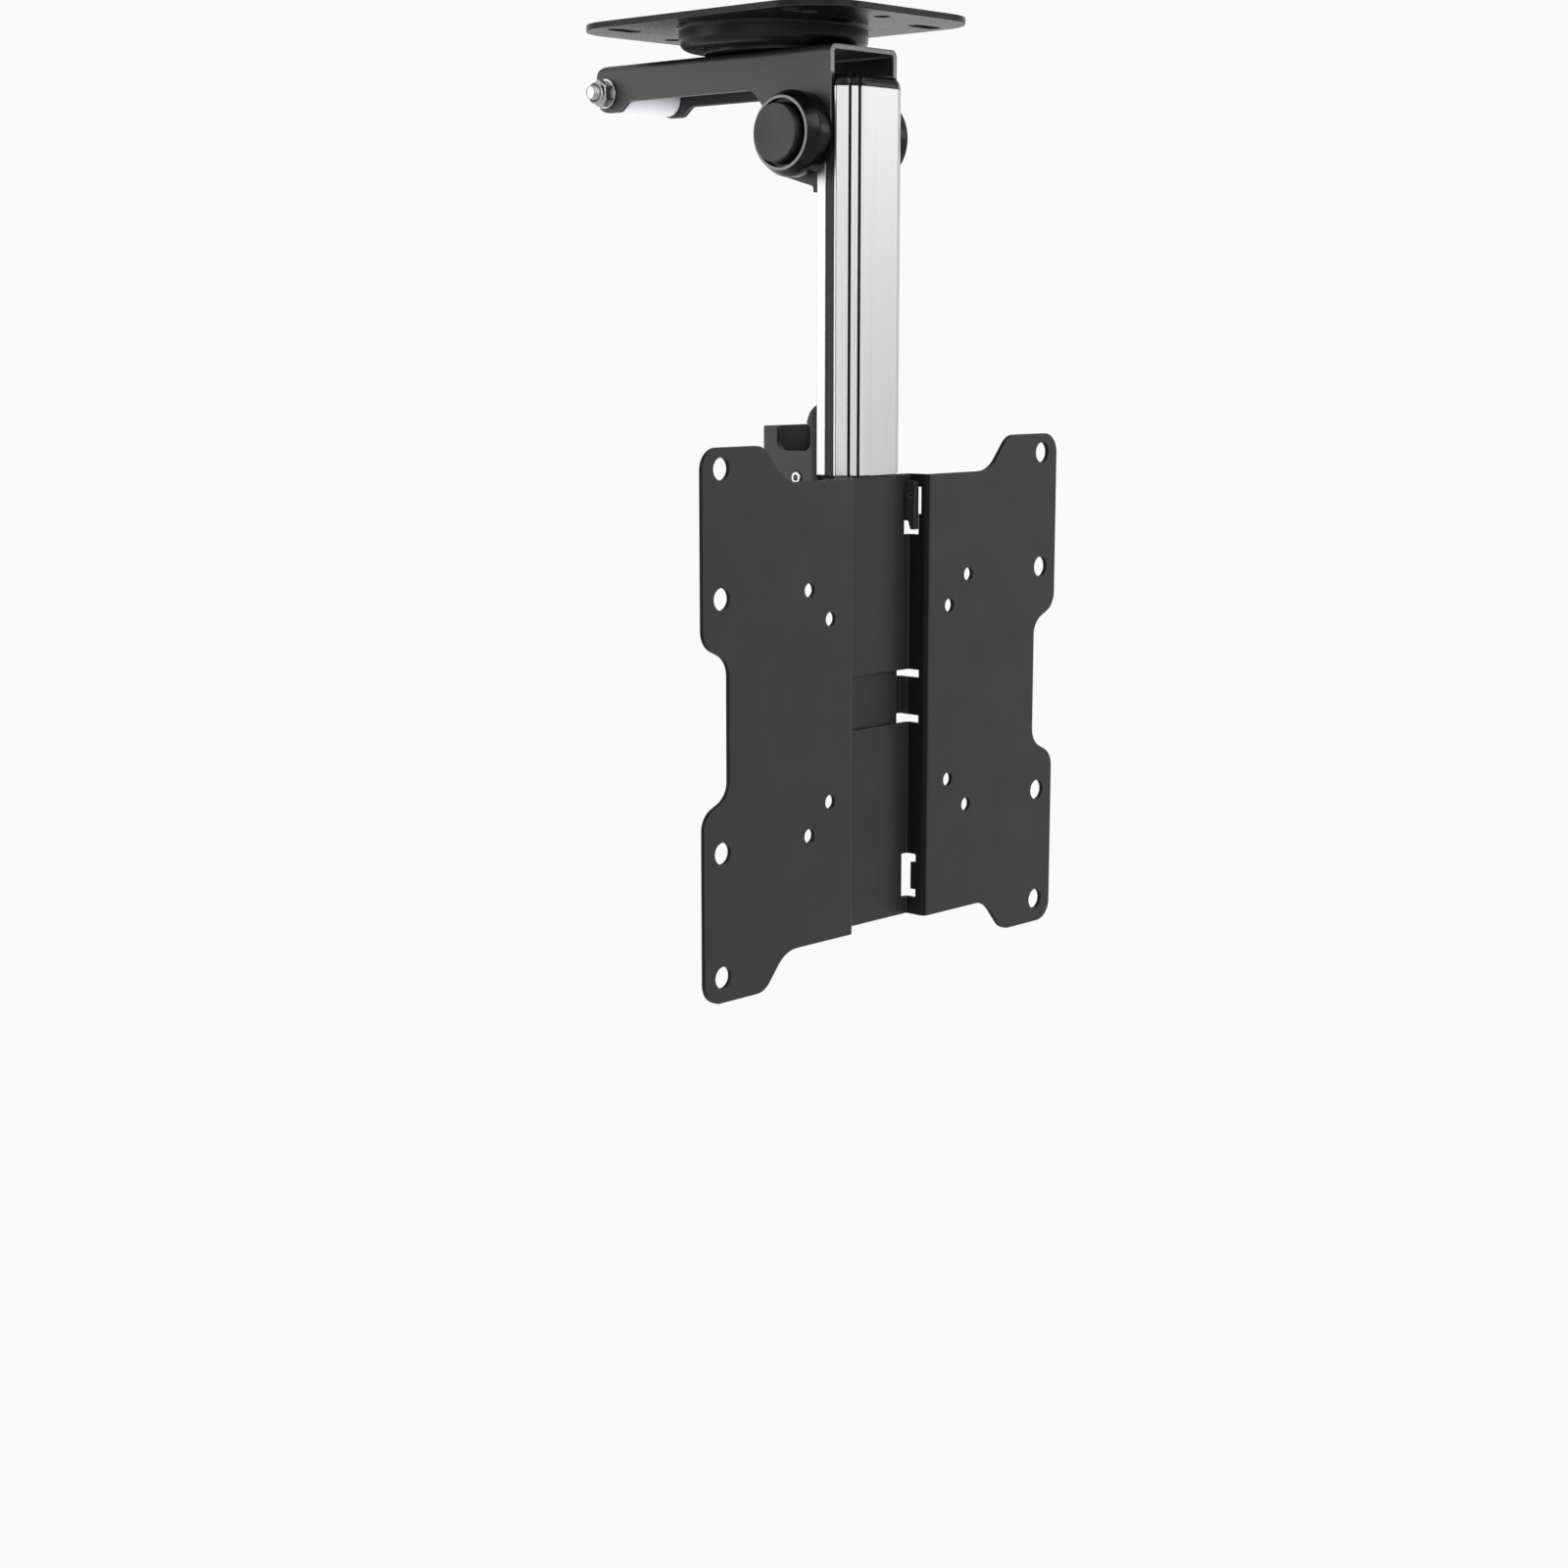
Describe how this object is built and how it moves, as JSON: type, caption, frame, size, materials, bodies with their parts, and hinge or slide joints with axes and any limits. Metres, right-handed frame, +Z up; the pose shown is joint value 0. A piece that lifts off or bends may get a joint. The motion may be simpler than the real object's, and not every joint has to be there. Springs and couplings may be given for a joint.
{
  "type": "tv ceiling mount",
  "caption": "Flip-down ceiling bracket: swivelling arm, folding grooved aluminium column and a tilting VESA plate for a small flat television.",
  "frame": {"origin": "on the swivel axis, on the ceiling plate's top face", "axes": "+Z up to the ceiling, -Y towards the screen side, +X along the fold and tilt axes"},
  "size_m": [0.2204, 0.1611, 0.3888],
  "materials": {
    "black_steel": "satin powder coat",
    "zinc": "bright zinc plated",
    "black_plastic": "moulded satin",
    "button_plastic": "moulded satin",
    "strip_plastic": "extruded matt",
    "nylon": "natural nylon",
    "spring_steel": "drawn wire",
    "satin_aluminium": "satin anodised"
  },
  "bodies": {
    "ceiling": {"ceiling_plate": "black_steel", "swivel_bolt": "zinc", "swivel_disc": "black_plastic", "swivel_liner": "nylon", "swivel_washer": "zinc", "swivel_lock_nut": "zinc"},
    "arm": {"arm_channel": "black_steel", "cross_bolt": "zinc", "cross_washers": "zinc", "cross_lock_nut": "zinc", "spacer_sleeve": "nylon", "hinge_housing": "black_plastic", "hinge_cover": "black_plastic", "hinge_axle": "zinc", "axle_nut": "zinc", "button_spring": "spring_steel"},
    "button": {"push_button": "button_plastic"},
    "column": {"column_profile": "satin_aluminium", "side_strip_left": "strip_plastic", "side_strip_right": "strip_plastic", "column_top_cap": "black_plastic", "column_foot_plug": "black_plastic", "hinge_bracket": "black_steel", "bracket_screws": "zinc", "hinge_washers": "nylon", "tilt_yoke": "black_steel", "yoke_screws": "zinc", "tilt_axle": "zinc", "tilt_washers": "nylon", "tilt_spacer": "zinc"},
    "head": {"tilt_clevis": "black_steel", "clevis_rivets": "zinc", "head_plate": "black_steel", "vesa_plate": "black_steel"}
  },
  "joints": [
    {"name": "swivel", "type": "hinge", "parent": "ceiling", "child": "arm", "pos_m": [0, 0, 0], "axis": [0, 0, 1], "range_deg": [-180, 180]},
    {"name": "fold", "type": "hinge", "parent": "arm", "child": "column", "pos_m": [0, -0.0344, -0.0481], "axis": [1, 0, 0], "range_deg": [0, 85]},
    {"name": "tilt", "type": "hinge", "parent": "column", "child": "head", "pos_m": [0, -0.03, -0.1864], "axis": [1, 0, 0], "range_deg": [0, 15]},
    {"name": "press", "type": "slide", "parent": "arm", "child": "button", "axis": [1, 0, 0], "range_m": [0, 0.003], "stiffness_N_per_m": 1500, "springref_m": -0.003}
  ]
}
